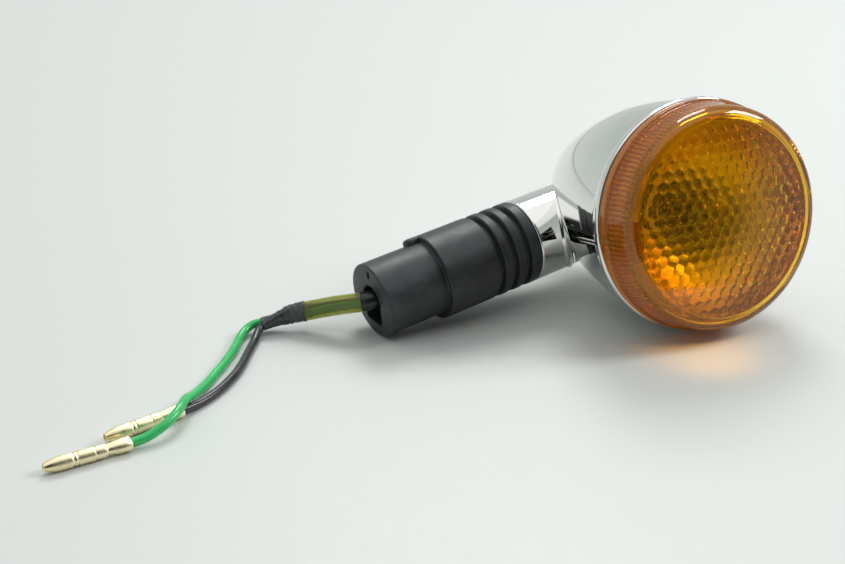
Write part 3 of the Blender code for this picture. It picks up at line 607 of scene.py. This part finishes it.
def lens_ring(radius, z, count, ribs=0.0, pillows=0.0):
    t = np.arange(count) * 2 * math.pi / count
    r = radius + ribs * np.cos(t * RIBS)
    x, y = r * np.cos(t), r * np.sin(t)
    height = z - pillows * pillow(x, y) if pillows else np.full(count, z)
    return np.column_stack([x, y, height]).tolist()


def make_lens():
    """The lens as one ring of loops: outside of the wall, crown, pillows, then the ribs within."""
    top = 0.0029
    corner, wall_t, face_t = 0.0042, 0.0022, 0.0020
    turn_r, turn_z = 0.0326 - corner, 0.0139 - corner
    dome = 0.0022
    outer = rounded([(0.0314, -0.0015), (0.0314, 0.0006), (0.0335, 0.0006), (0.0335, 0.0001),
                     (0.0340, 0.0001), (0.0340, top), (0.0334, top + 0.0004),
                     (0.0326, turn_z - 0.0010)], 0.0005, 4)
    outer += arc(turn_r, turn_z, corner, 0, 80, 14)
    loops = [lens_ring(r, z, FINE) for r, z in outer]
    edge_r, edge_z = outer[-1]
    steps = 24
    for k in range(1, steps):
        r = edge_r * (1 - k / steps)
        loops.append(lens_ring(r, edge_z + dome * (1 - (r / edge_r) ** 2), FINE if k < 2 else COARSE))
    loops.append([(0.0, 0.0, edge_z + dome)])
    crown = edge_z + dome
    loops.append([(0.0, 0.0, crown - face_t - 0.0003)])
    inner_r = turn_r
    steps = 92
    for k in range(1, steps + 1):
        r = inner_r * k / steps
        z = edge_z + dome * (1 - (r / edge_r) ** 2) - face_t
        fade = min(1.0, (inner_r - r) / 0.0012)
        loops.append(lens_ring(r, z, COARSE if k < steps - 1 else FINE, pillows=PILLOW * fade))
    for r, z in arc(turn_r, turn_z, corner - wall_t, 78, 0, 8):
        loops.append(lens_ring(r, z, FINE))
    ribs_top, ribs_low = turn_z - 0.0004, top
    low_r, high_r = 0.0334 - wall_t, 0.0326 - wall_t
    steps = 8
    for k in range(steps + 1):
        share = k / steps
        depth = RIB_DEPTH * min(1.0, min(k, steps - k) / 1.5 + 0.1)
        loops.append(lens_ring(high_r + (low_r - high_r) * share,
                               ribs_top + (ribs_low - ribs_top) * share, FINE, ribs=depth))
    mouth_r = 0.0302
    loops.append(lens_ring(mouth_r, top - 0.0006, FINE))
    loops.append(lens_ring(mouth_r, -0.0015, FINE))
    piece("lens_glass", *loft(loops, ring=True), HEAD, AMBER, "head", "lens", sharp=30)
    for i, angle in enumerate(SCREW_ANGLES):
        turn = HEAD @ Matrix.Rotation(angle, 4, "Z")
        plan = rounded([(0.0264, -0.0058), (0.0299, -0.0058), (0.0299, 0.0058), (0.0264, 0.0058)],
                       0.0014, 5, ring=True)
        lug = loft([[(x * s, y * s, z) for x, y in plan] for s, z in
                    ((1, 0.0010), (1, 0.0100), (0.996, 0.0104))], capped=True)
        piece(f"lens_lug_{i + 1}", *lug, turn, AMBER, "head")


# ---- inside the head ----------------------------------------------------------------------
def make_inside():
    share = np.linspace(0, 1, 22)[1:]
    front = [(0.0290 - 0.0198 * float(s), -0.0018 - 0.0126 * float(1 - (1 - s) ** 2)) for s in share]
    dish = [(0.0314, LEDGE_Z + 0.0002), (0.0314, -0.0017), (0.0290, -0.0017)] + front
    dish += [(r + 0.0004, z - 0.0008) for r, z in front[::-1]] + [(0.0284, LEDGE_Z + 0.0002)]
    piece("reflector_dish", *turned(dish, 128, ring=True), HEAD, BRIGHT, "head", "reflector")
    neck_r, globe_r, globe_z, wall = 0.0064, 0.0090, -0.0010, 0.0005
    start = math.degrees(math.acos(neck_r / globe_r))
    outer = [(neck_r, -0.0210)] + arc(0, globe_z, globe_r, -start, 90, 24)
    inner = arc(0, globe_z, globe_r - wall, 90, -start, 24) + [(neck_r - wall, -0.0210)]
    outer[-1], inner[0] = (0.0, outer[-1][1]), (0.0, inner[0][1])
    piece("bulb_globe", *turned(outer + inner, 64, ring=True), HEAD, GLASS, "bulb", "bulb_glass")


# ---- leads --------------------------------------------------------------------------------
SLEEVE_ROUTE = [
    (-0.0627, 0.0211, 0.0105), (-0.0650, 0.0230, 0.0099), (-0.0690, 0.0267, 0.0086),
    (-0.0726, 0.0301, 0.0072), (-0.0754, 0.0327, 0.0061),
]
COLLAR_ROUTE = [
    (-0.0576, 0.0193, 0.0115), (-0.0594, 0.0194, 0.0113), (-0.0612, 0.0200, 0.0109),
    (-0.0625, 0.0209, 0.0106),
]
TAPE_ROUTE = [
    (-0.0763, 0.0333, 0.0059), (-0.0779, 0.0342, 0.0055), (-0.0798, 0.0350, 0.0050),
    (-0.0838, 0.0363, 0.0038), (-0.0874, 0.0373, 0.0030),
]
GREEN_TIP = Vector((-0.1664, -0.0051, 0.0020))
BLACK_TIP = Vector((-0.1502, 0.0004, 0.0020))
GREEN_ROUTE = [
    (-0.0578, 0.0181, 0.0115), (-0.0617, 0.0189, 0.0109), (-0.0658, 0.0221, 0.0099),
    (-0.0698, 0.0258, 0.0086), (-0.0734, 0.0291, 0.0071), (-0.0766, 0.0322, 0.0054),
    (-0.0796, 0.0347, 0.0038), (-0.0833, 0.0371, 0.0030), (-0.0870, 0.0386, 0.0030),
    (-0.0896, 0.0393, 0.0026), (-0.0926, 0.0384, 0.0018), (-0.0956, 0.0358, 0.0013),
    (-0.0984, 0.0322, 0.0012), (-0.1012, 0.0287, 0.0012), (-0.1042, 0.0255, 0.0012),
    (-0.1073, 0.0222, 0.0012), (-0.1104, 0.0193, 0.0012), (-0.1134, 0.0164, 0.0012),
    (-0.1164, 0.0136, 0.0014), (-0.1196, 0.0105, 0.0021), (-0.1226, 0.0073, 0.0032),
    (-0.1254, 0.0040, 0.0046), (-0.1280, 0.0006, 0.0050), (-0.1308, -0.0022, 0.0047),
    (-0.1340, -0.0040, 0.0039), (-0.1374, -0.0050, 0.0030), (-0.1406, -0.0054, 0.0023),
    (-0.1439, -0.0054, 0.0020),
]
BLACK_ROUTE = [
    (-0.0574, 0.0205, 0.0115), (-0.0607, 0.0211, 0.0109), (-0.0642, 0.0239, 0.0099),
    (-0.0682, 0.0276, 0.0086), (-0.0718, 0.0310, 0.0073), (-0.0754, 0.0341, 0.0066),
    (-0.0799, 0.0353, 0.0062), (-0.0843, 0.0355, 0.0047), (-0.0875, 0.0364, 0.0032),
    (-0.0892, 0.0357, 0.0025), (-0.0908, 0.0341, 0.0019), (-0.0925, 0.0320, 0.0014),
    (-0.0944, 0.0297, 0.0012),
    (-0.0970, 0.0265, 0.0012), (-0.0995, 0.0233, 0.0012), (-0.1022, 0.0200, 0.0012),
    (-0.1052, 0.0167, 0.0012), (-0.1084, 0.0138, 0.0012), (-0.1116, 0.0112, 0.0012),
    (-0.1149, 0.0089, 0.0012), (-0.1183, 0.0070, 0.0012), (-0.1216, 0.0055, 0.0013),
    (-0.1243, 0.0044, 0.0016), (-0.1266, 0.0035, 0.0019),
]


LEAD_R = 0.00126
LEAD_BORE_R = 0.00262                 # inside the collar and the sleeve
COLLAR_R = 0.0030


def free_lead(name, points, mat, node):
    samples = smooth_route(points, 0.0012)
    curve = bpy.data.curves.new(name, "CURVE")
    curve.dimensions = "3D"
    curve.bevel_depth = LEAD_R
    curve.bevel_resolution = 8
    curve.use_fill_caps = True
    spline = curve.splines.new("POLY")
    spline.points.add(len(samples) - 1)
    for point, sample in zip(spline.points, samples):
        point.co = (*sample, 1.0)
    spline.use_smooth = True
    curve.materials.append(mat)
    obj = bpy.data.objects.new(name, curve)
    bpy.context.scene.collection.objects.link(obj)
    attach(obj, "mount")
    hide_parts(node)


def make_terminal(name, route, tip, node):
    """A bullet terminal: crimp with two wings, round barrel, grooved plug and nose."""
    start = Vector(route[-1])
    ahead = (tip - start).normalized()
    place = placed(start + 0.0003 * ahead, ahead)
    plug = rounded([(0, 0.0060), (0.00150, 0.0060), (0.00175, 0.0068), (0.00180, 0.0090),
                    (0.00166, 0.0092), (0.00186, 0.0095), (0.00188, 0.0134), (0.00166, 0.0137),
                    (0.00195, 0.0142), (0.00166, 0.0148), (0.00194, 0.0152), (0.00190, 0.0185),
                    (0.00155, 0.0206), (0.00108, 0.0221), (0.00085, 0.0222), (0.00080, 0.0206),
                    (0, 0.0206)], 0.0003, 3)
    terminal = piece(name, *turned(plug, 64), place, BRASS, "mount", node)
    crimp = []
    count = 48
    for z, wide, high in ((0.0, 0.00182, 0.00165), (0.0003, 0.00200, 0.00182), (0.0022, 0.00200, 0.0018),
                          (0.0036, 0.0019, 0.00172), (0.0050, 0.0016, 0.0015), (0.0062, 0.0015, 0.0014)):
        loop = []
        for k in range(count):
            t = 2 * math.pi * k / count
            seam = 0.00035 * math.exp(-((t - math.pi / 2) / 0.22) ** 2)
            loop.append(((wide - seam) * math.cos(t), (high - seam) * math.sin(t), z))
        crimp.append(loop)
    barrel = piece(name + "_crimp", *loft([[(0, 0, 0)]] + crimp + [[(0, 0, 0.0062)]]), place, BRASS,
                   "mount")
    return terminal, barrel


def nearest(samples, place):
    return min(samples, key=lambda p: (p - place).length_squared)


def make_leads():
    green_way = smooth_route(GREEN_ROUTE, 0.0004)
    black_way = smooth_route(BLACK_ROUTE, 0.0004)

    def wrapped(share, place, way, grow=0.0):
        """The tape pulled tight over the two leads, round at the sleeve and flat further on."""
        apart = (nearest(green_way, place) - nearest(black_way, place)).normalized()
        tight = min(1.0, max(0.0, (share - 0.05) / 0.45)) ** 0.8
        wide = COLLAR_R + (0.00262 - COLLAR_R) * tight
        thin = COLLAR_R + (0.00178 - COLLAR_R) * tight
        side = way.dot(apart)
        return grow + 1.0 / math.sqrt((side / wide) ** 2 + (1 - side * side) / thin ** 2)

    def tape(share, place, way):
        spot = Vector((share * 9, way.y * 1.3, way.z * 1.3))
        fold = 0.00016 * noise.noise(spot * 1.6) + 0.00007 * noise.noise(spot * 4.0)
        turn = (share * 4.0 + 0.25 * way.y) % 1.0
        step = 0.00010 * (turn if turn < 0.92 else (1 - turn) / 0.08 * 0.92)
        return wrapped(share, place, way, 0.00008 + fold * min(1.0, share * 4) + step)

    def sleeve(share, place, way):
        return 0.00295 + 0.00004 * noise.noise(Vector((share * 10, way.y, way.z)))

    bore = lambda share, place, way: LEAD_BORE_R
    collar = piece("collar_ring", *along_route(COLLAR_ROUTE, 0.0004, 48, lambda s, p, w: COLLAR_R, bore),
                   Matrix(), COLLAR, "mount", "cable_collar")
    sleeve = piece("sleeve_tube", *along_route([COLLAR_ROUTE[-1]] + SLEEVE_ROUTE[1:] + [TAPE_ROUTE[0]],
                                               0.0004, 48, sleeve, bore),
                   Matrix(), OLIVE, "mount", "vinyl_sleeve")
    tape = piece("tape_roll", *along_route([SLEEVE_ROUTE[-1]] + TAPE_ROUTE, 0.0002, 72, tape,
                                           lambda s, p, w: wrapped(s, p, w, -0.0002)),
                 Matrix(), TAPE, "mount", "tape_wrap")
    green = make_terminal("green_bullet", GREEN_ROUTE, GREEN_TIP, "green_terminal")
    black = make_terminal("black_bullet", BLACK_ROUTE, BLACK_TIP, "black_terminal")
    free_lead("green_wire", GREEN_ROUTE, GREEN, "green_lead")
    free_lead("black_wire", BLACK_ROUTE, BLACK, "black_lead")


# ---- soft parts inside --------------------------------------------------------------------
def soft_copy(node, name, mat, body):
    """The node's own shape, copied into a piece of its own."""
    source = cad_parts[node]
    verts = [tuple(source.matrix_world @ v.co) for v in source.data.vertices]
    faces = [tuple(p.vertices) for p in source.data.polygons]
    return piece(name, verts, faces, Matrix(), mat, body, *([node] if body else []))


def make_soft_insides():
    for node, mat in (("live_lead", GREEN), ("earth_lead", BLACK)):
        lead = soft_copy(node, node + "_run", mat, None)
        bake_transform(lead)
        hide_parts(node)
    spring = soft_copy("contact_spring", "spring_coil", STEEL, "head")
    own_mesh(spring)


# ---- CAD nodes that stay ------------------------------------------------------------------
def paint_nodes():
    looks = {"mount_sleeve": STEEL, "neck_gasket": RUBBER, "neck_bolt": STEEL, "neck_washer": STEEL,
             "neck_nut": STEEL, "lens_gasket": RUBBER, "lens_screw_1": STEEL, "lens_screw_2": STEEL,
             "socket_shell": STEEL, "socket_rivet_1": BRASS, "socket_rivet_2": BRASS,
             "socket_rivet_3": BRASS, "contact_carrier": PHENOLIC, "center_contact": BRASS,
             "bulb_base": BRASS, "bulb_stem_press": GLASS,
             "filament_post_left": TUNGSTEN, "filament_post_right": TUNGSTEN,
             "bulb_filament": TUNGSTEN, "base_insulator": PHENOLIC, "base_tip": STEEL}
    for name, mat in looks.items():
        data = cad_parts[name].data
        data.materials.clear()
        data.materials.append(mat)


# ---- table, light and camera --------------------------------------------------------------
def link(obj):
    bpy.context.scene.collection.objects.link(obj)
    return obj


def make_table():
    """A pale floor, cut off in front as the table is, just outside the picture."""
    look = Look("table", (0.640, 0.664, 0.645), 0.5)
    look.link(look.spread(look.noise(240.0, 4.0), 0.3, 0.7, 0.40, 0.5), "Roughness")
    near, far, wide = 0.14, 5.0, 5.0
    front, left = Vector((0.451, -0.892, 0)), Vector((0.892, 0.451, 0))
    corners = [front * u + left * v for u, v in ((near, -wide), (near, wide), (-far, wide), (-far, -wide))]
    floor = piece("table", [tuple(c) for c in corners], [(0, 1, 2, 3)], Matrix(), look.mat, None)


def aim(obj, at, target):
    obj.location = at
    obj.rotation_mode = "QUATERNION"
    obj.rotation_quaternion = (Vector(target) - Vector(at)).to_track_quat("-Z", "Y")


def area_lamp(name, size, power, at, target):
    data = bpy.data.lights.new(name, "AREA")
    data.shape = "RECTANGLE"
    data.size, data.size_y = size, size
    data.energy = power
    aim(link(bpy.data.objects.new(name, data)), at, target)


def make_lamps():
    """Two soft lamps, and a small amber one for the light that the lens throws on the table."""
    area_lamp("key", 0.70, 14.0, (0.70, 1.00, 1.50), (0, 0, 0))
    area_lamp("side", 0.35, 5.5, (0.75, -0.35, 0.65), (0.02, -0.02, 0.03))
    data = bpy.data.lights.new("glow", "SPOT")
    data.energy = 0.022
    data.spot_size = math.radians(80)
    data.spot_blend = 1.0
    data.shadow_soft_size = 0.004
    data.color = (1.0, 0.42, 0.0)
    glow = link(bpy.data.objects.new("glow", data))
    aim(glow, (0.0125, -0.0510, 0.0300), (0.0155, -0.0410, 0.0))
    glow.visible_camera = glow.visible_glossy = glow.visible_transmission = False


def make_world():
    """A grey room, bright overhead, with a dark side for the chrome to show."""
    world = bpy.data.worlds.new("room")
    world.use_nodes = True
    tree = world.node_tree

    def node(kind, links=(), **props):
        made = tree.nodes.new(kind)
        for key, value in props.items():
            setattr(made, key, value)
        for key, value in dict(links).items():
            if isinstance(value, bpy.types.NodeSocket):
                tree.links.new(value, made.inputs[key])
            else:
                made.inputs[key].default_value = value
        return made

    way = node("ShaderNodeTexCoord").outputs["Generated"]
    height = node("ShaderNodeSeparateXYZ", {0: way}).outputs["Z"]
    sky = node("ShaderNodeValToRGB", {0: height})
    ramp = sky.color_ramp
    ramp.elements[0].position = 0.0
    ramp.elements[0].color = (0.64, 0.68, 0.66, 1)
    ramp.elements[1].position = 0.84
    ramp.elements[1].color = (1.05, 1.05, 1.05, 1)
    ramp.elements.new(0.40).color = (0.55, 0.59, 0.57, 1)
    ramp.elements.new(0.74).color = (0.50, 0.54, 0.52, 1)
    side = node("ShaderNodeVectorMath", {0: way, 1: (-0.12, -0.95, 0.28)}, operation="DOT_PRODUCT")
    shade = node("ShaderNodeMapRange", {"Value": side.outputs["Value"], "From Min": 0.62,
                                        "From Max": 0.82, "To Min": 1.0, "To Max": 0.04},
                 interpolation_type="SMOOTHSTEP").outputs["Result"]
    mix = node("ShaderNodeMix", data_type="RGBA", blend_type="MULTIPLY")
    mix.inputs["Factor"].default_value = 1.0
    tree.links.new(sky.outputs["Color"], mix.inputs[6])
    tree.links.new(shade, mix.inputs[7])
    tree.links.new(mix.outputs[2], tree.nodes["Background"].inputs["Color"])
    bpy.context.scene.world = world
    bpy.context.scene.view_settings.view_transform = "Standard"


def make_camera():
    data = bpy.data.cameras.new("camera")
    data.lens = 55.385
    data.sensor_width = 36.0
    data.clip_start = 0.01
    camera = link(bpy.data.objects.new("camera", data))
    camera.location = (-0.2310, -0.28237, 0.17125)
    camera.rotation_euler = (math.radians(66.0), 0.0, math.radians(-31.97))
    bpy.context.scene.camera = camera


make_table()
make_lamps()
make_world()
make_camera()
make_leads()
make_rubber()
make_stem()
make_housing()
make_lens()
make_inside()
make_soft_insides()
paint_nodes()
